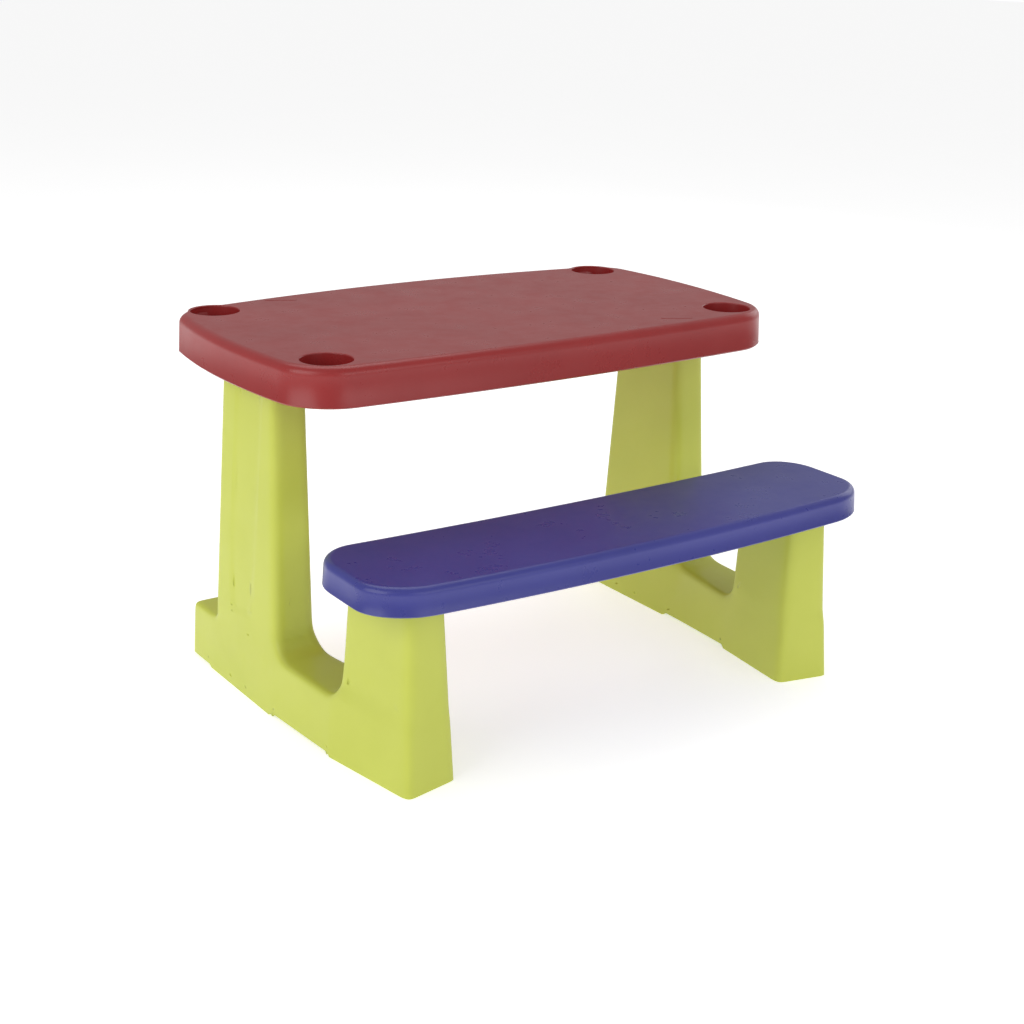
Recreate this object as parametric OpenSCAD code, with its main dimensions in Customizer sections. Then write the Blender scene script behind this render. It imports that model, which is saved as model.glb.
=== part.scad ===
// Child's table with a bench: two one-piece side frames carry a tabletop and a bench seat.
// Millimetres. +X runs along the table, +Y from the bench to the table, +Z up.
// The origin is on the floor, at the middle of the whole set.

/* [Tabletop] */
// Length of the tabletop, left to right
top_l = 804; // [780:1:830]
// Depth of the tabletop at its middle, front to back
top_d = 449; // [435:1:465]
// Height of the tabletop above the floor
top_h = 500; // [490:1:530]
// Height of the skirt that hangs round the edge
top_skirt = 50; // [46:1:54]
// How far the far edge bows out over the length
top_bow_far = 36; // [20:1:40]
// How far the near edge bows out over the length
top_bow_near = 14.5; // [8:0.5:20]
// How far each end bows out over the depth
top_bow_end = 21; // [12:1:24]
// Corner radius at the far edge
top_r_far = 46; // [40:1:60]
// Corner radius at the near edge
top_r_near = 67; // [50:1:75]
// Radius of the rounded upper lip
top_lip = 12; // [6:1:14]

/* [Cup wells] */
// Inner diameter of a well
well_d = 68; // [60:1:72]
// Depth of a well below the tabletop
well_deep = 32; // [26:1:36]
// Distance of each well from the middle, left to right
well_x = 331; // [325:1:334]
// Distance of the far wells from the tabletop's middle
well_y_far = 162; // [155:1:164]
// Distance of the near wells from the tabletop's middle
well_y_near = 161; // [155:1:164]
// Radius of the rounded mouth
well_mouth = 3; // [1.5:0.5:4]

/* [Bench seat] */
// Length of the seat
seat_l = 806; // [790:1:830]
// Depth of the seat at its middle
seat_d = 190; // [180:1:200]
// Height of the seat above the floor
seat_h = 282; // [275:1:300]
// Height of the seat's skirt
seat_skirt = 34; // [32:1:38]
// How far the far edge curves in over the length
seat_bow_far = 11; // [6:1:14]
// How far the near edge bows out over the length
seat_bow_near = 19; // [10:1:22]
// Corner radius at the far edge
seat_r_far = 60; // [50:1:64]
// Corner radius at the near edge
seat_r_near = 75; // [60:1:78]
// Radius of the rounded upper lip
seat_lip = 10; // [6:1:12]
// Middle of the seat to middle of the tabletop, front to back
seat_gap = 338; // [330:1:345]

/* [Side frames] */
// Height of the foot beam between the two pillars
beam_h = 83; // [78:1:90]
// Radius where the beam runs up into the tall pillar
sweep_tall = 34; // [25:1:38]
// Radius where the beam runs up into the short pillar
sweep_short = 24; // [16:1:28]
// Radius of the pillars' front corners
pillar_r = 17; // [10:1:20]
// Radius of the pillars' rear corners
pillar_r_rear = 10; // [6:1:12]
// Height of the relief under the beam between the floor pads
pad_h = 5; // [3:1:7]

/* [Walls and ribs] */
// Wall of every moulding
wall = 3.5; // [3:0.1:4]
// Thickness of the ribs and of the socket walls
rib = 3; // [2.5:0.1:3.5]
// Depth of the ribs under the tabletop
top_rib_h = 18; // [12:1:22]
// Depth of the ribs under the seat
seat_rib_h = 14; // [10:1:18]
// Gap between a pillar and its socket
play = 0.4; // [0.3:0.1:0.6]

/* [Screws] */
// Outside diameter of the screw shank
screw_d = 4.2; // [3.8:0.1:4.8]
// Length of the shank under the head
screw_l = 16; // [14:1:18]
// Diameter of the screw head
head_d = 8.4; // [7.6:0.1:9]
// Height of the screw head
head_h = 2.8; // [2.4:0.1:3.2]

/* [Hidden] */
$fn = 64;

// The set is centred front to back, so the tabletop sits behind the origin and the seat before it.
draft = 2;
set_front = seat_gap + seat_d / 2 + draft;
set_rear = top_d / 2 + draft;
top_y = (set_front - set_rear) / 2;
seat_y = top_y - seat_gap;
top_under = top_h - wall;
seat_under = seat_h - wall;
sock_top_h = 34;
sock_seat_h = 20;

// ---- plane geometry -------------------------------------------------------------------------
function unit(v) = v / norm(v);
function turn(v) = [-v.y, v.x];
function lerp(a, b, t) = a + (b - a) * t;

// Where two circles meet, to the left (1) or right (-1) of the way from c to d
function meet(c, rc, d, rd, side) =
  let (v = d - c, l = norm(v), a = (l * l + rc * rc - rd * rd) / (2 * l), h = sqrt(rc * rc - a * a))
  c + unit(v) * a + side * turn(unit(v)) * h;

// Signed radius of an arc that bows s over a half chord h; negative curves inwards
function bow_r(s, h) = (h * h + s * s) / (2 * s);

// Points from p to q round a centre, the short way
function arc(c, p, q, n) =
  let (r = norm(p - c), a = atan2(p.y - c.y, p.x - c.x), b = atan2(q.y - c.y, q.x - c.x),
       s = b - a > 180 ? b - a - 360 : b - a < -180 ? b - a + 360 : b - a)
  [for (i = [0:n - 1]) c + r * [cos(a + s * i / n), sin(a + s * i / n)]];

// Right half of a slab outline, from the middle of the near edge to the middle of the far edge
function slab_half(a, b, near, far, end, rn, rf) =
  let (kn = bow_r(near, a), kf = bow_r(far, a), ke = bow_r(end, b),
       cn = [0, kn - b], cf = [0, b - kf], ce = [a - ke, 0],
       pn = meet(cn, kn - rn, ce, ke - rn, 1),
       pf = meet(cf, abs(kf - rf), ce, ke - rf, -sign(kf)),
       n1 = pn + rn * unit(pn - cn), n2 = pn + rn * unit(pn - ce),
       f2 = pf + rf * unit(pf - ce), f1 = pf + rf * unit(pf - cf) * sign(kf))
  concat(arc(cn, [0, -b], n1, 4), arc(pn, n1, n2, 6), arc(ce, n2, f2, 3), arc(pf, f2, f1, 6),
         arc(cf, f1, [0, b], 4), [[0, b]]);

// Whole outline with d taken off every side
function slab(l, w, near, far, end, rn, rf, d = 0) =
  let (h = slab_half(l / 2 - d, w / 2 - d, near, far, end, rn - d, rf - d), m = len(h))
  concat(h, [for (i = [m - 2:-1:1]) [-h[i].x, h[i].y]]);

// Corners of a polygon after every side has moved inwards by d
function inset(p, d) = [for (i = [0:len(p) - 1])
  let (m = len(p), u = unit(p[i] - p[(i + m - 1) % m]), v = unit(p[(i + 1) % m] - p[i]))
  p[i] + (turn(u) + turn(v)) * d / (1 + u * v)];

// Polygon with an arc of radius r[i] at corner i
function rounded(p, r, n = 4) = [for (i = [0:len(p) - 1])
  let (m = len(p), u = unit(p[(i + m - 1) % m] - p[i]), v = unit(p[(i + 1) % m] - p[i]),
       half = acos(u * v) / 2, c = p[i] + unit(u + v) * r[i] / sin(half),
       s = p[i] + u * r[i] / tan(half), e = p[i] + v * r[i] / tan(half))
  each concat(arc(c, s, e, n), [e])];

// Solid through a stack of rings, each a list of plane points at its own height
module loft(rings, heights) {
  n = len(rings[0]);
  last = len(rings) - 1;
  polyhedron(
    points = [for (k = [0:last]) for (p = rings[k]) [p.x, p.y, heights[k]]],
    faces = concat([[for (i = [0:n - 1]) i]], [[for (i = [n - 1:-1:0]) last * n + i]],
      [for (k = [0:last - 1]) for (i = [0:n - 1])
        [k * n + i, (k + 1) * n + i, (k + 1) * n + (i + 1) % n, k * n + (i + 1) % n]]),
    convexity = 6);
}

// ---- outlines of this set ---------------------------------------------------------------------
function top_outline(d) =
  slab(top_l, top_d, top_bow_near, top_bow_far, top_bow_end, top_r_near, top_r_far, d);
function seat_outline(d) =
  slab(seat_l, seat_d, seat_bow_near, -seat_bow_far, 1, seat_r_near, seat_r_far, d);

// Corners of a pillar: near inner, near outer, far outer, far inner; t runs from beam to top
function tall(t) = [lerp([316, -94], [314.5, -74], t), lerp([379, -97], [361, -75], t),
                    lerp([388, 68], [378.5, 38], t), lerp([295, 67], [297.5, 39], t)];
function short(t) = [lerp([279, -382], [289, -376], t), lerp([351, -394], [344, -383], t),
                     lerp([369, -258], [361, -267], t), lerp([286, -262], [290, -268], t)];
function tall_at(z) = tall((z - 100) / (496 - 100));
function short_at(z) = short((z - 100) / (280 - 100));
corner_r = [pillar_r, pillar_r, pillar_r_rear, pillar_r_rear];

// Corners of the beam at the floor and 130 above it
beam_low = [[391, -100], [391, 147], [296, 147], [296, -124],
            [290, -248], [274, -386], [356, -403], [382, -248]];
beam_high = [[379, -98], [387, 139], [295, 139], [321, -120],
             [288, -264], [281, -381], [350, -392], [374, -248]];
beam_r = [150, 12, 12, 90, 60, pillar_r, pillar_r, 150];
function beam_at(z) = lerp(beam_low, beam_high, z / 130);

// ---- side frame -------------------------------------------------------------------------------
// Shape in the Y-Z plane of what is cut away over the beam, between the two pillars
module over_saddle() {
  front = -98;
  back = -257;
  m = 12;
  polygon(concat([[front + 12, 132], [front + 12, 240], [back - 12, 240], [back - 12, 132]],
    [for (i = [0:m]) let (a = 178 + 89 * i / m)
      [back + sweep_short + sweep_short * cos(a), beam_h + sweep_short + sweep_short * sin(a)]],
    [for (i = [0:m]) let (a = 273 + 83 * i / m)
      [front - sweep_tall + sweep_tall * cos(a), beam_h + sweep_tall + sweep_tall * sin(a)]]));
}

// The same over the heel, behind the tall pillar, with its rounded top edge
module over_heel() {
  r = 12;
  q = 9;
  m = 12;
  polygon(concat([[58, 200], [58, 132]],
    [for (i = [0:m]) let (a = 176 + 94 * i / m) [68 + q + q * cos(a), beam_h + q + q * sin(a)]],
    [for (i = [0:m]) let (a = 90 - 90 * i / m) [142 - r + r * cos(a), beam_h - r + r * sin(a)]],
    [[144, 40], [200, 40], [200, 200]]));
}

// Shape in the Y-Z plane of the relief between the two pairs of floor pads
module pad_relief() {
  polygon([[-250, -1], [-246, pad_h], [-104, pad_h], [-98, -1]]);
  polygon([[82, -1], [88, 3.5], [200, 3.5], [200, -1]]);
}

module across(w = 300) {
  translate([w, 0, 0]) rotate([90, 0, -90]) mirror([1, 0, 0]) linear_extrude(w) children();
}

// Block the beam is cut from, d inside its faces, through rings at the heights in zs
module beam(d, zs) {
  loft([for (z = zs) rounded(inset(beam_at(z), d), [for (r = beam_r) max(r - d, 2)])], zs);
}

module pillar(low, high, z, h, d) {
  loft([rounded(inset(low, d), [for (r = corner_r) max(r - d, 2)]),
        rounded(inset(high, d), [for (r = corner_r) max(r - d, 2)])], [z, h]);
}

module frame_outside() {
  difference() {
    beam(0, [0, 42, 84, 126]);
    translate([200, 0, 0]) across() {
      over_saddle();
      over_heel();
    }
  }
  pillar(tall_at(90), tall_at(top_under), 90, top_under, 0);
  pillar(short_at(90), short_at(seat_under), 90, seat_under, 0);
}

// Hollow of the frame, open at the floor
module frame_inside() {
  difference() {
    beam(wall, [-3, 42, beam_h - wall]);
    translate([200, 0, 0]) across() translate([-wall, -wall]) over_heel();
  }
  pillar(tall_at(60), tall_at(top_under - wall), 60, top_under - wall, wall);
  pillar(short_at(60), short_at(seat_under - wall), 60, seat_under - wall, wall);
}

module side_frame() {
  difference() {
    union() {
      difference() {
        frame_outside();
        frame_inside();
      }
      intersection() {
        frame_outside();
        each_screw() translate([0, 0, -wall - 9]) cylinder(d = 10, h = 12);
      }
    }
    translate([200, 0, 0]) across() pad_relief();
    each_screw() translate([0, 0, -screw_l - 1]) cylinder(d = screw_d + 0.1, h = screw_l + 6);
  }
}

// ---- screws -----------------------------------------------------------------------------------
// Each place is where a screw's axis meets the socket's outer face, and the way its head looks.
tz = top_under - sock_top_h + 12;
bz = seat_under - sock_seat_h + 8;
function inner_x(c, y) = lerp(c[0].x, c[3].x, (y - c[0].y) / (c[3].y - c[0].y));
table_places = [[[inner_x(tall_at(tz), -45), -45, tz], [0, -90, 0]],
                [[inner_x(tall_at(tz), 12), 12, tz], [0, -90, 0]],
                [[338, (tall_at(tz)[0].y + tall_at(tz)[1].y) / 2, tz], [90, 0, 0]],
                [[338, tall_at(tz)[2].y, tz], [-90, 0, 0]]];
bench_places = [[[inner_x(short_at(bz), -350), -350, bz], [0, -90, 0]],
                [[inner_x(short_at(bz), -296), -296, bz], [0, -90, 0]]];
seat_off = play + rib + 1.6;

module at_place(p) {
  translate(p[0]) rotate(p[1]) children();
}

module each_screw() {
  for (p = concat(table_places, bench_places)) at_place(p) children();
}

module screw(p) {
  color([0.72, 0.73, 0.75]) at_place(p) translate([0, 0, seat_off]) difference() {
    union() {
      rotate_extrude() polygon(concat([[0, 0], [head_d / 2, 0], [head_d / 2, head_h * 0.45]],
        [for (a = [15:15:90]) [head_d / 2 * cos(a), head_h * (0.45 + 0.55 * sin(a))]]));
      translate([0, 0, -screw_l + 3]) cylinder(d = screw_d, h = screw_l - 2.9);
      translate([0, 0, -screw_l]) cylinder(d1 = 1.2, d2 = screw_d, h = 3.01);
    }
    for (a = [0, 90]) rotate(a) translate([-2.4, -0.45, head_h - 1.5]) cube([4.8, 0.9, 3]);
  }
}

// ---- tabletop and seat ------------------------------------------------------------------------
// Socket wall round a pillar's head
module collar(c, r, z, h) {
  translate([0, 0, z]) linear_extrude(h) difference() {
    polygon(rounded(inset(c, -play - rib), [for (k = r) k + play + rib]));
    polygon(rounded(inset(c, -play), [for (k = r) k + play]));
  }
}

module pads_and_holes(places, c, r, z, h) {
  difference() {
    union() {
      collar(c, r, z, h);
      difference() {
        for (p = places) at_place(p) cylinder(d = 13, h = seat_off);
        translate([0, 0, z - 50]) linear_extrude(h + 100)
          polygon(rounded(inset(c, -play), [for (k = r) k + play]));
      }
    }
    for (p = places) at_place(p) translate([0, 0, -10]) cylinder(d = screw_d + 0.6, h = 30);
  }
}

module both_sides() {
  children();
  mirror([1, 0, 0]) children();
}

module wells(d, deep) {
  for (x = [-well_x, well_x], y = [well_y_far, -well_y_near])
    translate([x, top_y + y, top_h - deep]) cylinder(d = d, h = deep + 1);
}

module well_mouths() {
  for (x = [-well_x, well_x], y = [well_y_far, -well_y_near])
    translate([x, top_y + y, top_h]) rotate_extrude() difference() {
      translate([0, -well_mouth]) square([well_d / 2 + well_mouth, well_mouth + 1]);
      translate([well_d / 2 + well_mouth, -well_mouth]) circle(well_mouth);
    }
}

lip_steps = [90, 60, 30, 0];

module top_shell() {
  difference() {
    loft(concat([top_outline(-draft)], [for (a = lip_steps) top_outline(top_lip * (1 - sin(a)))]),
         concat([top_h - top_skirt], [for (a = lip_steps) top_h - top_lip * (1 - cos(a))]));
    translate([0, 0, top_h - top_skirt - 1]) {
      linear_extrude(top_skirt + 1 - top_lip) polygon(top_outline(wall));
      linear_extrude(top_skirt + 1 - wall) polygon(top_outline(wall + 5.5));
    }
  }
}

module seat_shell() {
  difference() {
    loft(concat([seat_outline(-draft)], [for (a = lip_steps) seat_outline(seat_lip * (1 - sin(a)))]),
         concat([seat_h - seat_skirt], [for (a = lip_steps) seat_h - seat_lip * (1 - cos(a))]));
    translate([0, 0, seat_h - seat_skirt - 1]) {
      linear_extrude(seat_skirt + 1 - seat_lip) polygon(seat_outline(wall));
      linear_extrude(seat_skirt + 1 - wall) polygon(seat_outline(wall + 4.5));
    }
  }
}

// Ribs under a slab, clear of the skirt
module ribs(xs, ys, lx, ly, z, h) {
  for (x = xs) translate([x - rib / 2, -ly / 2, z]) cube([rib, ly, h]);
  for (y = ys) translate([-lx / 2, y - rib / 2, z]) cube([lx, rib, h]);
}

module tabletop() {
  color([0.62, 0.09, 0.11]) difference() {
    union() {
      translate([0, top_y, 0]) {
        top_shell();
        ribs([-200, -100, 0, 100, 200], [-110, 0, 110], 500, 400,
          top_under - top_rib_h, top_rib_h + 0.5);
      }
      wells(well_d + 2 * rib, well_deep + rib);
      both_sides() translate([0, top_y, 0])
        pads_and_holes(table_places, tall_at(top_under - sock_top_h), corner_r,
          top_under - sock_top_h, sock_top_h + 0.5);
    }
    wells(well_d, well_deep);
    well_mouths();
  }
}

module bench_seat() {
  color([0.20, 0.19, 0.52]) union() {
    translate([0, seat_y, 0]) {
      seat_shell();
      ribs([-200, -100, 0, 100, 200], [-40, 40], 500, 150,
        seat_under - seat_rib_h, seat_rib_h + 0.5);
    }
    both_sides() translate([0, top_y, 0])
      pads_and_holes(bench_places, short_at(seat_under - sock_seat_h), corner_r,
        seat_under - sock_seat_h, sock_seat_h + 0.5);
  }
}

module right_side_frame() {
  color([0.76, 0.80, 0.25]) translate([0, top_y, 0]) side_frame();
}

module left_side_frame() {
  mirror([1, 0, 0]) right_side_frame();
}

module table_screw(side, i) {
  mirror([side < 0 ? 1 : 0, 0, 0]) translate([0, top_y, 0]) screw(table_places[i]);
}

module bench_screw(side, i) {
  mirror([side < 0 ? 1 : 0, 0, 0]) translate([0, top_y, 0]) screw(bench_places[i]);
}

tabletop();
bench_seat();
left_side_frame();
right_side_frame();
table_screw(-1, 0);  // table_screw_left_1
table_screw(-1, 1);  // table_screw_left_2
table_screw(-1, 2);  // table_screw_left_3
table_screw(-1, 3);  // table_screw_left_4
table_screw(1, 0);  // table_screw_right_1
table_screw(1, 1);  // table_screw_right_2
table_screw(1, 2);  // table_screw_right_3
table_screw(1, 3);  // table_screw_right_4
bench_screw(-1, 0);  // bench_screw_left_1
bench_screw(-1, 1);  // bench_screw_left_2
bench_screw(1, 0);  // bench_screw_right_1
bench_screw(1, 1);  // bench_screw_right_2
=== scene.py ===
import math

import bmesh
import bpy
from mathutils import Matrix, Vector


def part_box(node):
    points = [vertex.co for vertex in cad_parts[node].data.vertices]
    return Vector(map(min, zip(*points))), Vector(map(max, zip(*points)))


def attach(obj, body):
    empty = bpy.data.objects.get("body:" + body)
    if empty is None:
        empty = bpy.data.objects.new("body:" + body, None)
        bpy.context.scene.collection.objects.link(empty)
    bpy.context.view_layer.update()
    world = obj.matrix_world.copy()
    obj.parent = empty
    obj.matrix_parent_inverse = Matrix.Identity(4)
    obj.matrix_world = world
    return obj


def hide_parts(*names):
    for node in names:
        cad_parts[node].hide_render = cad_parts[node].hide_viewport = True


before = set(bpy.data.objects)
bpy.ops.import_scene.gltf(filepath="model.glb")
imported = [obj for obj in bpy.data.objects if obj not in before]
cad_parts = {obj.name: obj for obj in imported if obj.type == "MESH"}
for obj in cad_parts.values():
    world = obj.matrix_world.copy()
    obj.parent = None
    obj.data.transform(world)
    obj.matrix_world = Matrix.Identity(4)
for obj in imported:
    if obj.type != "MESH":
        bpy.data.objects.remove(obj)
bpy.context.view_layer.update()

mm = 0.001
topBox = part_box("tabletop")
# the frames and the seat are placed from the tabletop's middle
topMiddleY = (topBox[0][1] + topBox[1][1]) / 2
print("frame loaded, tabletop middle at y", round(topMiddleY, 4))


def mix(a, b, t):
    return a + (b - a) * t


def along(points, v):
    # value at v on the straight pieces through (v, value) pairs
    for (v0, a), (v1, b) in zip(points, points[1:]):
        if v <= v1:
            break
    return mix(a, b, (v - v0) / (v1 - v0))


def shadeSmooth(bm):
    for face in bm.faces:
        face.smooth = True


def pieceFrom(bm, name, material):
    mesh = bpy.data.meshes.new(name)
    bm.to_mesh(mesh)
    bm.free()
    piece = bpy.data.objects.new(name, mesh)
    bpy.context.scene.collection.objects.link(piece)
    mesh.materials.append(material)
    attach(piece, "root")
    return piece


def addWall(piece, thickness):
    wall = piece.modifiers.new("wall", "SOLIDIFY")
    wall.thickness = thickness
    wall.offset = -1
    wall.use_quality_normals = True


plastics = {
    "red": dict(colour=(0.330, 0.026, 0.026), deep=(0.300, 0.022, 0.022), rough=0.30, glow=0.04),
    "blue": dict(colour=(0.052, 0.056, 0.290), deep=(0.045, 0.049, 0.265), rough=0.30, glow=0.04),
    "lime": dict(colour=(0.590, 0.640, 0.088), deep=(0.560, 0.610, 0.076), rough=0.36, glow=0.08),
}


def mouldedPlastic(name, look):
    material = bpy.data.materials.new(name)
    material.use_nodes = True
    nodes, links = material.node_tree.nodes, material.node_tree.links
    shader = nodes["Principled BSDF"]
    place = nodes.new("ShaderNodeTexCoord")

    # pigment is a little uneven over a hand's width
    pigment = nodes.new("ShaderNodeTexNoise")
    pigment.inputs["Scale"].default_value = 7
    pigment.inputs["Detail"].default_value = 4
    pigment.inputs["Roughness"].default_value = 0.55
    tint = nodes.new("ShaderNodeValToRGB")
    tint.color_ramp.elements[0].position = 0.32
    tint.color_ramp.elements[0].color = (*look["deep"], 1)
    tint.color_ramp.elements[1].position = 0.62
    tint.color_ramp.elements[1].color = (*look["colour"], 1)

    # gloss changes where the tool was polished and where hands rub it
    rub = nodes.new("ShaderNodeTexNoise")
    rub.inputs["Scale"].default_value = 22
    rub.inputs["Detail"].default_value = 6
    rub.inputs["Roughness"].default_value = 0.65
    gloss = nodes.new("ShaderNodeMapRange")
    gloss.inputs["From Min"].default_value = 0.3
    gloss.inputs["From Max"].default_value = 0.7
    gloss.inputs["To Min"].default_value = look["rough"] - 0.05
    gloss.inputs["To Max"].default_value = look["rough"] + 0.07

    # slow flow of the skin, and the fine orange peel of the tool
    flow = nodes.new("ShaderNodeTexNoise")
    flow.inputs["Scale"].default_value = 11
    flow.inputs["Detail"].default_value = 1
    peel = nodes.new("ShaderNodeTexNoise")
    peel.inputs["Scale"].default_value = 520
    peel.inputs["Detail"].default_value = 2
    flowBump = nodes.new("ShaderNodeBump")
    flowBump.inputs["Strength"].default_value = 0.25
    flowBump.inputs["Distance"].default_value = 0.0009
    peelBump = nodes.new("ShaderNodeBump")
    peelBump.inputs["Strength"].default_value = 0.10
    peelBump.inputs["Distance"].default_value = 0.0002

    for texture in (pigment, rub, flow, peel):
        links.new(place.outputs["Object"], texture.inputs["Vector"])
    links.new(pigment.outputs["Fac"], tint.inputs["Fac"])
    links.new(tint.outputs["Color"], shader.inputs["Base Color"])
    links.new(rub.outputs["Fac"], gloss.inputs["Value"])
    links.new(gloss.outputs["Result"], shader.inputs["Roughness"])
    links.new(flow.outputs["Fac"], flowBump.inputs["Height"])
    links.new(peel.outputs["Fac"], peelBump.inputs["Height"])
    links.new(flowBump.outputs["Normal"], peelBump.inputs["Normal"])
    links.new(peelBump.outputs["Normal"], shader.inputs["Normal"])

    shader.inputs["IOR"].default_value = 1.49
    shader.inputs["Subsurface Weight"].default_value = look["glow"]
    shader.inputs["Subsurface Radius"].default_value = (0.004, 0.004, 0.002)
    return material


def zincPlate(name):
    material = bpy.data.materials.new(name)
    material.use_nodes = True
    nodes, links = material.node_tree.nodes, material.node_tree.links
    shader = nodes["Principled BSDF"]
    place = nodes.new("ShaderNodeTexCoord")
    mottle = nodes.new("ShaderNodeTexNoise")
    mottle.inputs["Scale"].default_value = 600
    mottle.inputs["Detail"].default_value = 5
    tone = nodes.new("ShaderNodeValToRGB")
    tone.color_ramp.elements[0].position = 0.35
    tone.color_ramp.elements[0].color = (0.42, 0.43, 0.45, 1)
    tone.color_ramp.elements[1].position = 0.65
    tone.color_ramp.elements[1].color = (0.66, 0.67, 0.68, 1)
    gloss = nodes.new("ShaderNodeMapRange")
    gloss.inputs["To Min"].default_value = 0.24
    gloss.inputs["To Max"].default_value = 0.42
    grain = nodes.new("ShaderNodeBump")
    grain.inputs["Strength"].default_value = 0.2
    grain.inputs["Distance"].default_value = 0.00005
    links.new(place.outputs["Object"], mottle.inputs["Vector"])
    links.new(mottle.outputs["Fac"], tone.inputs["Fac"])
    links.new(mottle.outputs["Fac"], gloss.inputs["Value"])
    links.new(mottle.outputs["Fac"], grain.inputs["Height"])
    links.new(tone.outputs["Color"], shader.inputs["Base Color"])
    links.new(gloss.outputs["Result"], shader.inputs["Roughness"])
    links.new(grain.outputs["Normal"], shader.inputs["Normal"])
    shader.inputs["Metallic"].default_value = 1
    return material


redPlastic = mouldedPlastic("redPlastic", plastics["red"])
bluePlastic = mouldedPlastic("bluePlastic", plastics["blue"])
limePlastic = mouldedPlastic("limePlastic", plastics["lime"])
zinc = zincPlate("zincPlate")
print("materials made")


tabletopLook = dict(
    length=804, depth=449, height=500, skirt=50,  # mm, over the middle
    farBow=36, nearBow=14.5, endBow=21,
    farRadius=46, nearRadius=67, lip=12, draft=2,
    wellDiameter=68, wellDeep=32, wellX=331, wellFarY=162, wellNearY=161, mouth=1.8, mouthFlat=0.4,
    wellDraft=0.6, wellRound=4, floorRing=3, floorHub=8,  # the drink wells' walls and floors
    plateLength=46, plateWidth=7, plateX=218, plateY=183, plateTurn=-27, plateHigh=0.3,
    middleY=0, ribsX=(-200, -100, 0, 100, 200), ribsY=(-110, 0, 110), ribLength=(500, 400), ribHigh=18,
    socketHigh=34, wall=3.5,
)
seatLook = dict(
    length=806, depth=190, height=282, skirt=34,
    farBow=-11, nearBow=19, endBow=1,
    farRadius=60, nearRadius=75, lip=10, draft=2,
    middleY=-338, ribsX=(-200, -100, 0, 100, 200), ribsY=(-40, 40), ribLength=(500, 150), ribHigh=14,
    socketHigh=20, wall=3.5,
)
lipSteps = 8
lipClear = (37.6, 36.9)  # mm from a well's middle to the lip, at the lip's foot and at its top
flatClear = 36.6
clearSoftly = 1.2
ribThick = 3
socketPlay = 0.4
bury = 0.5  # mm that an added piece runs into the skin it stands on


def bowDepth(bow, half, v):
    # how far an arc that bows by bow over a half chord has come in at v from its middle
    radius = (half * half + bow * bow) / (2 * bow)
    return radius - math.copysign(math.sqrt(radius * radius - v * v), radius)


def bowEdges(verts, look, halfLength, halfDepth):
    for vert in verts:
        x, y = vert.co.x, vert.co.y
        bow = look["farBow"] if y > 0 else look["nearBow"]
        vert.co.y -= bowDepth(bow * mm, halfLength, min(abs(x), halfLength)) * y / halfDepth
        vert.co.x -= bowDepth(look["endBow"] * mm, halfDepth, min(abs(y), halfDepth)) * x / halfLength


def insetBy(bm, faces, thick, high):
    bmesh.ops.inset_region(bm, faces=faces, thickness=thick, depth=high, use_even_offset=True,
                           use_boundary=True)


def slabFace(bm, look):
    # one face in the slab's outline, at the foot of the skirt
    halfLength = (look["length"] / 2 + look["draft"]) * mm
    halfDepth = (look["depth"] / 2 + look["draft"]) * mm
    sheet = bmesh.ops.create_grid(bm, x_segments=1, y_segments=1, size=1)["verts"]
    bmesh.ops.scale(bm, vec=(halfLength, halfDepth, 1), verts=sheet)
    for side, radius in ((-1, look["nearRadius"]), (1, look["farRadius"])):
        corners = [v for v in bm.verts
                   if v.co.y * side > halfDepth - 1e-6 and abs(v.co.x) > halfLength - 1e-6]
        bmesh.ops.bevel(bm, geom=corners, offset=radius * mm, offset_type="OFFSET", segments=14,
                        profile=0.5, affect="VERTICES", material=-1)
    for size, cuts in ((0.25, 31), (0.009, 3)):
        bmesh.ops.bisect_edges(bm, edges=[e for e in bm.edges if e.calc_length() > size], cuts=cuts)
    bowEdges(bm.verts, look, halfLength, halfDepth)
    return list(bm.faces)


def growRing(bm, edges, centre, oldRadius, newRadius, drop):
    made = bmesh.ops.extrude_edge_only(bm, edges=edges)["geom"]
    verts = [g for g in made if isinstance(g, bmesh.types.BMVert)]
    fresh = set(verts)
    bmesh.ops.scale(bm, vec=(newRadius / oldRadius, newRadius / oldRadius, 1), verts=verts,
                    space=Matrix.Translation(-centre))
    bmesh.ops.translate(bm, vec=(0, 0, -drop), verts=verts)
    return [g for g in made if isinstance(g, bmesh.types.BMEdge) and set(g.verts) <= fresh]


def sinkWell(bm, edges, centre, look):
    # rounded mouth, slightly drafted wall, rounded floor corner, flat floor
    radius, mouth, floorRound = look["wellDiameter"] / 2 * mm, look["mouth"] * mm, look["wellRound"] * mm
    now = radius + mouth + look["mouthFlat"] * mm
    path = [(radius + mouth, 0)]
    path += [(radius + mouth * (1 - math.sin(a)), mouth * (1 - math.cos(a)))
             for a in (math.radians(15 * k) for k in range(1, 7))]
    foot, deep = radius - look["wellDraft"] * mm, look["wellDeep"] * mm
    path += [(mix(radius, foot, 0.5), mix(mouth, deep - floorRound, 0.5)), (foot, deep - floorRound)]
    path += [(foot - floorRound * (1 - math.cos(a)), deep - floorRound * (1 - math.sin(a)))
             for a in (math.radians(18 * k) for k in range(1, 6))]
    path += [(foot - floorRound - look["floorRing"] * mm, deep), (look["floorHub"] * mm, deep)]
    depth = 0
    for nextRadius, nextDepth in path:
        edges = growRing(bm, edges, centre, now, nextRadius, nextDepth - depth)
        now, depth = nextRadius, nextDepth
    bmesh.ops.edgeloop_fill(bm, edges=edges)


def makeRoom(verts, wellsAt, nearest):
    # the lip tightens where a well's mouth comes close to the edge
    for vert in verts:
        for x, y in wellsAt:
            away = Vector((vert.co.x - x * mm, vert.co.y - y * mm, 0))
            short = away.length - nearest
            push = (math.sqrt(short * short + (clearSoftly * mm) ** 2) - short) / 2
            vert.co += away.normalized() * push


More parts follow.
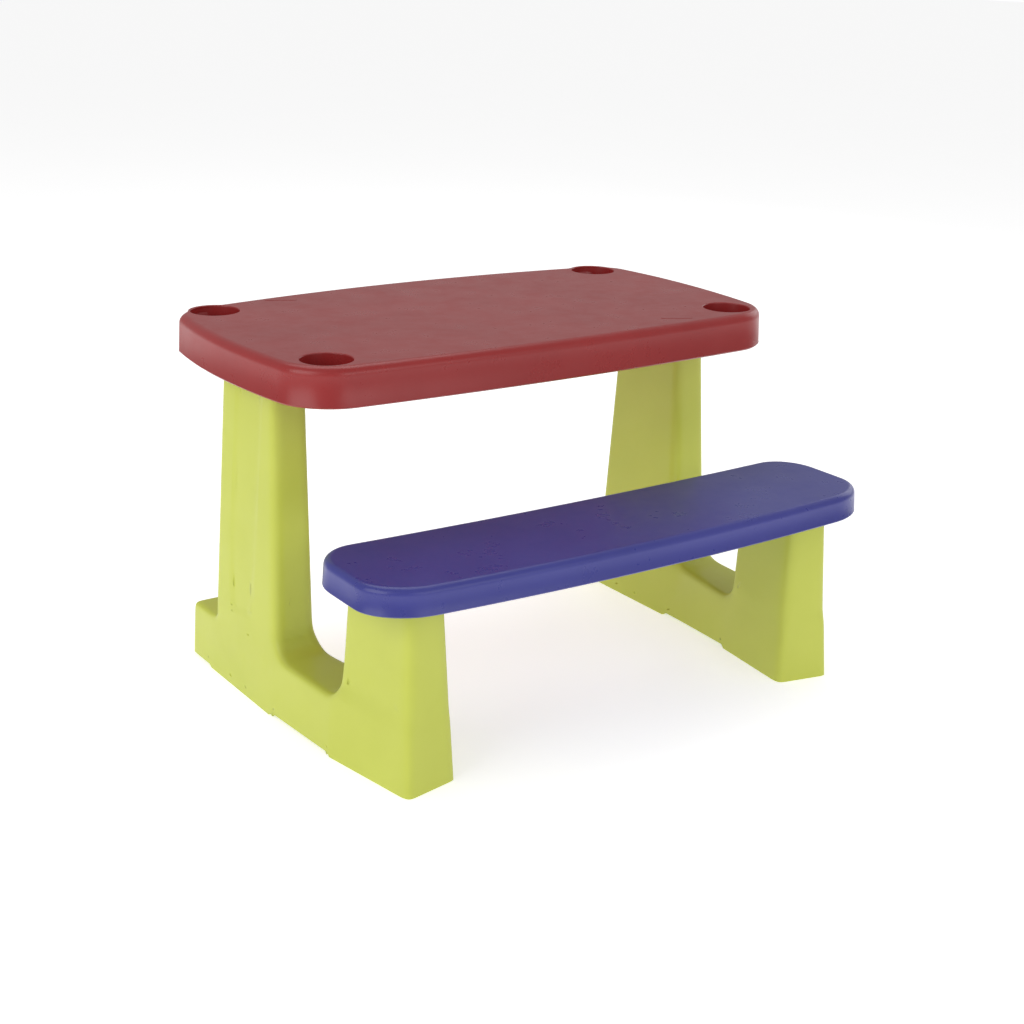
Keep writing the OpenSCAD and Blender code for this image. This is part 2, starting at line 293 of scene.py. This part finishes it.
def slabShell(look, wellsAt, shave):
    # shave keeps the flat top that much below the plates that lie on it
    bm = bmesh.new()
    face = slabFace(bm, look)
    lip = look["lip"] * mm
    bmesh.ops.translate(bm, vec=(0, 0, (look["height"] - look["skirt"]) * mm - shave), verts=bm.verts)
    insetBy(bm, face, 0.4 * mm, 0.4 * mm)
    insetBy(bm, face, (look["draft"] - 0.4) * mm, (look["skirt"] - 0.4) * mm - lip)
    for k in range(lipSteps):
        a0, a1 = (math.pi / 2 * j / lipSteps for j in (k, k + 1))
        insetBy(bm, face, lip * (math.cos(a0) - math.cos(a1)), lip * (math.sin(a1) - math.sin(a0)))
        makeRoom(face[0].verts, wellsAt, mix(*lipClear, (k + 1) / lipSteps) * mm)
    insetBy(bm, face, 1.5 * mm, 0)
    makeRoom(face[0].verts, wellsAt, flatClear * mm)
    rim = list(face[0].edges)
    bmesh.ops.delete(bm, geom=face, context="FACES_ONLY")
    top = look["height"] * mm - shave
    mouths = []
    for x, y in wellsAt:
        centre = Vector((x * mm, y * mm, top))
        mouthRadius = (look["wellDiameter"] / 2 + look["mouth"] + look["mouthFlat"]) * mm
        ring = bmesh.ops.create_circle(bm, cap_ends=False, segments=72, radius=mouthRadius,
                                       matrix=Matrix.Translation(centre))["verts"]
        mouths.append((centre, list({e for v in ring for e in v.link_edges})))
    bmesh.ops.triangle_fill(bm, use_beauty=True, use_dissolve=False, normal=(0, 0, 1),
                            edges=rim + [e for _, ring in mouths for e in ring])
    for centre, ring in mouths:
        sinkWell(bm, ring, centre, look)
    bmesh.ops.translate(bm, vec=(0, topMiddleY + look["middleY"] * mm, 0), verts=bm.verts)
    bmesh.ops.recalc_face_normals(bm, faces=bm.faces)
    shadeSmooth(bm)
    return bm


def finishShell(piece, look):
    addWall(piece, look["wall"] * mm)
    soften = piece.modifiers.new("rim", "BEVEL")
    soften.width = 0.5 * mm
    soften.segments = 2
    soften.limit_method = "ANGLE"
    soften.angle_limit = math.radians(50)


wells = [(side * tabletopLook["wellX"], y) for side in (-1, 1)
         for y in (tabletopLook["wellFarY"], -tabletopLook["wellNearY"])]
tabletop = pieceFrom(slabShell(tabletopLook, wells, tabletopLook["plateHigh"] * mm), "tabletop_shell",
                     redPlastic)
finishShell(tabletop, tabletopLook)
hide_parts("tabletop")
seat = pieceFrom(slabShell(seatLook, [], 0), "seat_shell", bluePlastic)
finishShell(seat, seatLook)
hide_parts("bench_seat")
print("tabletop and seat shells made")


def blankPlates(look):
    # two plain raised pills, half a turn apart
    bm = bmesh.new()
    for turn in (0, math.pi):
        pill = bmesh.ops.create_circle(bm, cap_ends=True, segments=48,
                                       radius=look["plateWidth"] / 2 * mm)["verts"]
        for vert in pill:
            vert.co.x += math.copysign((look["plateLength"] - look["plateWidth"]) / 2 * mm, vert.co.x)
        faces = list({f for v in pill for f in v.link_faces})
        bmesh.ops.rotate(bm, cent=(0, 0, 0), verts=pill,
                         matrix=Matrix.Rotation(math.radians(look["plateTurn"]), 3, "Z"))
        bmesh.ops.translate(bm, vec=(-look["plateX"] * mm, look["plateY"] * mm, 0), verts=pill)
        bmesh.ops.rotate(bm, cent=(0, 0, 0), matrix=Matrix.Rotation(turn, 3, "Z"), verts=pill)
        grown = bmesh.ops.extrude_face_region(bm, geom=faces)["geom"]
        bmesh.ops.translate(bm, vec=(0, 0, (look["plateHigh"] + bury) * mm),
                            verts=[g for g in grown if isinstance(g, bmesh.types.BMVert)])
        insetBy(bm, [g for g in grown if isinstance(g, bmesh.types.BMFace)], 0.25 * mm, 0)
    foot = (look["height"] - look["plateHigh"] - bury) * mm
    bmesh.ops.translate(bm, vec=(0, topMiddleY, foot), verts=bm.verts)
    bmesh.ops.recalc_face_normals(bm, faces=bm.faces)
    return bm


pieceFrom(blankPlates(tabletopLook), "tabletop_plates", redPlastic)
print("blank plates made")


# the corners at the pillars' foot are taken at footHigh, and the beam's upper lines at skewHigh
frameLook = dict(
    tallFoot=((316, -94), (379, -97), (388, 68), (295, 67)),  # near inner, near outer, far outer, far inner
    tallHead=((314.5, -74), (361, -75), (378.5, 38), (297.5, 39)), tallTop=496,
    shortFoot=((279, -382), (351, -394), (369, -258), (286, -262)),
    shortHead=((289, -376), (344, -383), (361, -267), (290, -268)), shortTop=280,
    innerLow=((-386, 274), (-248, 290), (-124, 296), (147, 296)),
    innerHigh=((-381, 281), (-264, 288), (-120, 321), (139, 295)),
    outerLow=((-403, 356), (-248, 382), (-100, 391), (147, 391)),
    outerHigh=((-392, 350), (-248, 374), (-98, 379), (139, 387)),
    footHigh=100, skewHigh=130, beamRows=(11, 40, 68), footRise=5, wall=3.5,
    rounds=(17, 17, 10, 10),  # of a pillar's corners, in the order of tallFoot
    # from the corners to the lines that hold the rounding; frontHold loses holdLoss on its way up
    frontHold=23, sideHold=15, farHold=14, holdLoss=9,
    tallBlend=0.7, shortBlend=0.5,  # how much of the pillar a fillet's middle row has taken on
)
# each edge's y, the height that y is taken at, and how much it leans forward per mm of height
fluteLook = dict(front=(-35, 140, 0.0538), rear=(27, 120, 0.0655), outside=3, inside=4, foot=110, deep=1.6,
                 footMiddle=-4, footPull={13: 0.3, 14: 0.42, 15: 0.42, 16: 0.3})

# lines across the frame, front to back: y at the floor and at the top of the beam
# 0 to 4 carry the short pillar, 11 to 18 the tall one with its flute at 13 to 16, 19 to 22 the heel
beamLines = [(0, 0), (0, 0), (-322, -322), (-275, -272), (-256, -250), (-250, -242), (-246, -233),
             (-205, -206), (-150, -166), (-104, -132), (-98, -119), (-86, -108), (-66, -80), (-38, -38),
             (-32, -32), (22, 22), (28, 28), (56, 55), (70, 70.6), (82, 79), (88, 103), (132, 129),
             (147, 142.5)]
beamTop = [83, 83, 83, 85, 90, 84.8, 83, 83, 83, 83, 85.6, 93, 92, 90, 90, 87, 87, 86, 85.6, 83, 83, 83, 83]
reliefHigh = {6: 5, 7: 5, 8: 5, 9: 5, 20: 3.5, 21: 3.5, 22: 3.5}
# heights of the rows above the beam's five, at a pillar's near and far side
pillarRows = dict(
    tall=[None] * 5 + [(104, 92), (117, 103), (127, 113), (150, 140), (300, 300), (440, 440), (484, 484),
                       (496, 496)],
    short=[None] * 5 + [(98, 98), (107, 107), (190, 190), (266, 266), (278.5, 278.5)],
)
pillarLines = dict(tall=(11, 18), short=(0, 4))


def pillarPoint(kind, corner, z):
    t = (z - frameLook["footHigh"]) / (frameLook[kind + "Top"] - frameLook["footHigh"])
    foot, head = frameLook[kind + "Foot"][corner], frameLook[kind + "Head"][corner]
    return mix(foot[0], head[0], t), mix(foot[1], head[1], t)


def beamCourse(side):
    return frameLook[("innerLow", "outerLow")[side]], frameLook[("innerHigh", "outerHigh")[side]]


def beamSide(side, y, z):
    low, high = beamCourse(side)
    return mix(along(low, y), along(high, y), z / frameLook["skewHigh"])


def beamFront(side, z):
    low, high = beamCourse(side)
    return mix(low[0][0], high[0][0], z / frameLook["skewHigh"])


def pillarSide(kind, side, y, z):
    near, far = ((0, 3), (1, 2))[side]
    x0, y0 = pillarPoint(kind, near, z)
    x1, y1 = pillarPoint(kind, far, z)
    return mix(x0, x1, (y - y0) / (y1 - y0))


def fluteEdge(line, z):
    # the flute narrows and leans forward on its way up
    front, rear = (y - (z - high) * lean for y, high, lean in (fluteLook["front"], fluteLook["rear"]))
    outside, inside = fluteLook["outside"], fluteLook["inside"]
    return {13: front - outside, 14: front + inside, 15: rear - inside, 16: rear + outside}[line]


def framePlace(side, line, row):
    # x, y and z in mm of one side (0 inner, 1 outer) of a line on a row
    kind = "short" if line <= pillarLines["short"][1] else "tall"
    near, far = ((0, 3), (1, 2))[side]
    if row <= 4:
        low, top = reliefHigh.get(line, 0), beamTop[line]
        second, third, fourth = frameLook["beamRows"]
        z = (low, max(low + frameLook["footRise"], second), third, fourth, top)[row]
        y = mix(*beamLines[line], z / top)
        if line <= 1:
            y = beamFront(side, z) + (frameLook["frontHold"] if line else 0)
        elif line in (13, 14, 15, 16):
            y = fluteEdge(line, fluteLook["foot"])
        x = beamSide(side, y, z)
        if line in (11, 12) and row == 4:
            footHigh = frameLook["footHigh"]
            footY = max(y, pillarPoint("tall", near, footHigh)[1])
            x = mix(x, pillarSide("tall", side, footY, footHigh), 0.5)
        return x, y, z
    first, last = pillarLines[kind]
    z = mix(*pillarRows[kind][row], max(0, min(1, (line - first) / (last - first))))
    nearY, farY = pillarPoint(kind, near, z)[1], pillarPoint(kind, far, z)[1]
    risen = (z - frameLook["footHigh"]) / (frameLook["tallTop"] - frameLook["footHigh"])
    hold = frameLook["frontHold"] - risen * frameLook["holdLoss"]
    if kind == "tall":
        y = {11: nearY, 12: nearY + hold, 17: farY - frameLook["farHold"], 18: farY}.get(line)
        if y is None:
            y = fluteEdge(line, z)
        if row == 5:
            y += {11: -3, 18: 1}.get(line, 0)
        if row == 7:
            y = mix(y, fluteLook["footMiddle"], fluteLook["footPull"].get(line, 0))
    else:
        y = {0: nearY, 1: nearY + hold, 2: mix(nearY, farY, 0.5),
             3: farY - frameLook["farHold"], 4: farY}[line]
        if row == 5 and line == 4:
            y += 3
    x = pillarSide(kind, side, y, z)
    if row == 5:
        x = mix(beamSide(side, y, z), x, frameLook[kind + "Blend"])
    if side == 1 and line in (14, 15) and row >= 7:
        x -= fluteLook["deep"]
    return x, y, z


def sideFrame(hand):
    # a grid of cells on the floor, grown upwards row by row; only the pillars' cells go on past the beam
    bm = bmesh.new()
    lines = len(beamLines)
    bmesh.ops.create_grid(bm, x_segments=3, y_segments=lines - 1, size=0.5)
    colOf = bm.verts.layers.int.new("col")
    lineOf = bm.verts.layers.int.new("line")
    rowOf = bm.verts.layers.int.new("row")
    for vert in bm.verts:
        vert[colOf] = round((vert.co.x + 0.5) * 3)
        vert[lineOf] = round((vert.co.y + 0.5) * (lines - 1))

    def grow(faces, row):
        made = bmesh.ops.extrude_face_region(bm, geom=faces)["geom"]
        bmesh.ops.delete(bm, geom=[f for f in faces if f.is_valid], context="FACES_ONLY")
        for g in made:
            if isinstance(g, bmesh.types.BMVert):
                g[rowOf] = row
        return [g for g in made if isinstance(g, bmesh.types.BMFace)]

    cells = list(bm.faces)
    for row in range(1, 5):
        cells = grow(cells, row)
    for kind, (first, last) in pillarLines.items():
        part = [f for f in cells if f.is_valid and all(first <= v[lineOf] <= last for v in f.verts)]
        for row in range(5, len(pillarRows[kind])):
            part = grow(part, row)

    for vert in bm.verts:
        col, line, row = vert[colOf], vert[lineOf], vert[rowOf]
        inner = Vector(framePlace(0, line, row))
        outer = Vector(framePlace(1, line, row))
        width = (outer - inner).length
        hold = frameLook["frontHold"] if line in (0, 1, 11, 12) and row > 4 else frameLook["sideHold"]
        share = (0, hold / width, 1 - hold / width, 1)[col]
        vert.co = inner.lerp(outer, share) * mm
        vert.co.x *= hand
        vert.co.y += topMiddleY
    bmesh.ops.recalc_face_normals(bm, faces=bm.faces)
    if max(bm.faces, key=lambda f: f.calc_center_median().z).normal.z < 0:
        bmesh.ops.reverse_faces(bm, faces=bm.faces)  # an open shell can come out turned inwards
    shadeSmooth(bm)
    return bm


for hand, name in ((1, "right_side_frame"), (-1, "left_side_frame")):
    shell = pieceFrom(sideFrame(hand), name + "_shell", limePlastic)
    soften = shell.modifiers.new("rounding", "SUBSURF")
    soften.levels = soften.render_levels = 3
    addWall(shell, frameLook["wall"] * mm)
    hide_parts(name)
print("side frames made")


def pillarOutline(bm, kind, z, grow):
    # the pillar's section at z, a little larger all round, as one face with rounded corners
    corners = [Vector((*pillarPoint(kind, i, z), 0)) for i in range(4)]
    middle = sum(corners, Vector()) / 4
    spot = {(-1, -1): 0, (1, -1): 1, (1, 1): 2, (-1, 1): 3}
    for vert in bmesh.ops.create_grid(bm, x_segments=1, y_segments=1, size=1)["verts"]:
        corner = corners[spot[round(vert.co.x), round(vert.co.y)]]
        away = corner - middle
        vert.co = (corner + Vector((math.copysign(grow, away.x), math.copysign(grow, away.y), 0))) * mm
    for k, radius in enumerate(frameLook["rounds"]):
        nearest = min(bm.verts, key=lambda v: (v.co / mm - corners[k]).length)
        bmesh.ops.bevel(bm, geom=[nearest], offset=(radius + grow) * mm, offset_type="OFFSET", segments=6,
                        profile=0.5, affect="VERTICES", material=-1)
    bmesh.ops.translate(bm, vec=(0, 0, z * mm), verts=bm.verts)
    return list(bm.faces)


def sockets(bm, kind, look):
    foot = look["height"] - look["wall"] - look["socketHigh"]
    for hand in (-1, 1):
        own = bmesh.new()
        face = pillarOutline(own, kind, foot, socketPlay + ribThick)
        insetBy(own, face, ribThick * mm, 0)
        bmesh.ops.delete(own, geom=face, context="FACES_ONLY")
        grown = bmesh.ops.extrude_face_region(own, geom=list(own.faces))["geom"]
        bmesh.ops.translate(own, vec=(0, 0, (look["socketHigh"] + bury) * mm),
                            verts=[g for g in grown if isinstance(g, bmesh.types.BMVert)])
        bmesh.ops.scale(own, vec=(hand, 1, 1), verts=own.verts)
        bmesh.ops.recalc_face_normals(own, faces=own.faces)
        mesh = bpy.data.meshes.new("part")
        own.to_mesh(mesh)
        own.free()
        bm.from_mesh(mesh)
        bpy.data.meshes.remove(mesh)


def ribGrid(bm, look):
    under = look["height"] - look["wall"]
    lengthX, lengthY = look["ribLength"]
    places = [((x, look["middleY"]), (ribThick, lengthY)) for x in look["ribsX"]]
    places += [((0, look["middleY"] + y), (lengthX, ribThick)) for y in look["ribsY"]]
    for (x, y), (sizeX, sizeY) in places:
        rib = bmesh.ops.create_cube(bm, size=1)["verts"]
        middleZ = under - (look["ribHigh"] - bury) / 2
        bmesh.ops.scale(bm, vec=(sizeX * mm, sizeY * mm, (look["ribHigh"] + bury) * mm), verts=rib)
        bmesh.ops.translate(bm, vec=(x * mm, y * mm, middleZ * mm), verts=rib)
        edges = list({e for v in rib for e in v.link_edges})
        bmesh.ops.bevel(bm, geom=edges, offset=0.5 * mm, offset_type="OFFSET", segments=2, profile=0.5,
                        affect="EDGES", material=-1)


padLook = dict(headHigh=2.8, high=5, radius=6.5)


def screwPads(bm, nodes):
    # a round pad under each screw's head, against the socket wall
    headHigh, padHigh, padRadius = padLook["headHigh"] * mm, padLook["high"] * mm, padLook["radius"] * mm
    for name, (dx, dy) in nodes:
        lo, hi = (Vector(c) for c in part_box(name))
        way = Vector((dx, dy, 0))
        centre = (lo + hi) / 2
        headEnd = centre + way * (hi - lo).dot(Vector((abs(dx), abs(dy), 0))) / 2
        turn = way.to_track_quat("Z", "Y").to_matrix().to_4x4()
        spot = headEnd - way * (headHigh + padHigh / 2)
        spot.y -= topMiddleY
        pad = bmesh.ops.create_cone(bm, cap_ends=True, segments=40, radius1=padRadius, radius2=padRadius,
                                    depth=padHigh, matrix=Matrix.Translation(spot) @ turn)["verts"]
        rims = [e for e in {e for v in pad for e in v.link_edges} if e.calc_face_angle(0) > 1]
        bmesh.ops.bevel(bm, geom=rims, offset=0.5 * mm, offset_type="OFFSET", segments=2, profile=0.5,
                        affect="EDGES", material=-1)


def underside(look, kind, nodes):
    bm = bmesh.new()
    ribGrid(bm, look)
    sockets(bm, kind, look)
    screwPads(bm, nodes)
    bmesh.ops.translate(bm, vec=(0, topMiddleY, 0), verts=bm.verts)
    return bm


tableScrews, benchScrews = [], []
for sideName, inward in (("left", 1), ("right", -1)):
    for i, way in enumerate(((inward, 0), (inward, 0), (0, -1), (0, 1)), 1):
        tableScrews.append((f"table_screw_{sideName}_{i}", way))
    for i in (1, 2):
        benchScrews.append((f"bench_screw_{sideName}_{i}", (inward, 0)))
pieceFrom(underside(tabletopLook, "tall", tableScrews), "tabletop_underside", redPlastic)
pieceFrom(underside(seatLook, "short", benchScrews), "seat_underside", bluePlastic)
for name, _ in tableScrews + benchScrews:
    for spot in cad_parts[name].material_slots:
        spot.material = zinc
print("undersides and screws made")


def paleFloor():
    material = bpy.data.materials.new("paleFloor")
    material.use_nodes = True
    nodes, links = material.node_tree.nodes, material.node_tree.links
    shader = nodes["Principled BSDF"]
    place = nodes.new("ShaderNodeTexCoord")
    cloud = nodes.new("ShaderNodeTexNoise")
    cloud.inputs["Scale"].default_value = 3
    tone = nodes.new("ShaderNodeValToRGB")
    tone.color_ramp.elements[0].color = (0.90, 0.90, 0.90, 1)
    tone.color_ramp.elements[1].color = (0.92, 0.92, 0.92, 1)
    links.new(place.outputs["Object"], cloud.inputs["Vector"])
    links.new(cloud.outputs["Fac"], tone.inputs["Fac"])
    links.new(tone.outputs["Color"], shader.inputs["Base Color"])
    shader.inputs["Roughness"].default_value = 0.9
    shader.inputs["Specular IOR Level"].default_value = 0.1
    shader.inputs["Emission Color"].default_value = (1, 1, 1, 1)
    shader.inputs["Emission Strength"].default_value = 0.55
    bm = bmesh.new()
    bmesh.ops.create_grid(bm, x_segments=1, y_segments=1, size=30)
    bmesh.ops.translate(bm, vec=(0, 0, -0.5 * mm), verts=bm.verts)
    mesh = bpy.data.meshes.new("floor")
    bm.to_mesh(mesh)
    bm.free()
    floor = bpy.data.objects.new("floor", mesh)
    bpy.context.scene.collection.objects.link(floor)
    mesh.materials.append(material)


lamps = {
    "leftKey": dict(at=(-3.2, -0.6, 2.0), aim=(0, 0, 0.3), size=(2.6, 2.2), power=36),
    "frontFill": dict(at=(0.6, -4.2, 2.0), aim=(0, 0, 0.3), size=(3.2, 2.0), power=24),
    "topBank": dict(at=(0.3, 1.2, 3.6), aim=(0, 0, 0.3), size=(3.0, 2.4), power=34),
    "rightFill": dict(at=(3.6, 0.8, 1.6), aim=(0, 0, 0.3), size=(2.2, 2.0), power=16),
}


def addLamps():
    for name, lamp in lamps.items():
        data = bpy.data.lights.new(name, "AREA")
        data.shape = "RECTANGLE"
        data.size, data.size_y = lamp["size"]
        data.energy = lamp["power"]
        light = bpy.data.objects.new(name, data)
        light.location = lamp["at"]
        way = Vector(lamp["aim"]) - Vector(lamp["at"])
        light.rotation_euler = way.to_track_quat("-Z", "Y").to_euler()
        bpy.context.scene.collection.objects.link(light)
    world = bpy.data.worlds.new("studio")
    world.use_nodes = True
    nodes, links = world.node_tree.nodes, world.node_tree.links
    ambient = nodes["Background"]
    ambient.inputs["Color"].default_value = (1, 1, 1, 1)
    ambient.inputs["Strength"].default_value = 0.42
    backdrop = nodes.new("ShaderNodeBackground")  # what the lens sees behind the set
    backdrop.inputs["Color"].default_value = (1, 1, 1, 1)
    backdrop.inputs["Strength"].default_value = 1
    path = nodes.new("ShaderNodeLightPath")
    choose = nodes.new("ShaderNodeMixShader")
    links.new(path.outputs["Is Camera Ray"], choose.inputs["Fac"])
    links.new(ambient.outputs["Background"], choose.inputs[1])
    links.new(backdrop.outputs["Background"], choose.inputs[2])
    links.new(choose.outputs["Shader"], nodes["World Output"].inputs["Surface"])
    bpy.context.scene.world = world


cameraLook = dict(at=(-1.3047, -1.85025, 0.9985), yaw=0.6126, pitch=0.3297, roll=0.0273,
                  lens=58.69, shift=(0.0012, -0.0001))


def addCamera():
    yaw, pitch, roll = cameraLook["yaw"], cameraLook["pitch"], cameraLook["roll"]
    ahead = Vector((math.sin(yaw) * math.cos(pitch), math.cos(yaw) * math.cos(pitch), -math.sin(pitch)))
    level = Vector((math.cos(yaw), -math.sin(yaw), 0))
    lift = level.cross(ahead)
    right = math.cos(roll) * level + math.sin(roll) * lift
    up = math.cos(roll) * lift - math.sin(roll) * level
    data = bpy.data.cameras.new("camera")
    data.lens = cameraLook["lens"]
    data.sensor_width = 36
    data.shift_x, data.shift_y = cameraLook["shift"]
    camera = bpy.data.objects.new("camera", data)
    turn = Matrix((right, up, -ahead)).transposed().to_4x4()
    camera.matrix_world = Matrix.Translation(cameraLook["at"]) @ turn
    bpy.context.scene.collection.objects.link(camera)
    bpy.context.scene.camera = camera


paleFloor()
addLamps()
addCamera()
bpy.context.scene.view_settings.view_transform = "Standard"
print("floor, lamps and camera set")
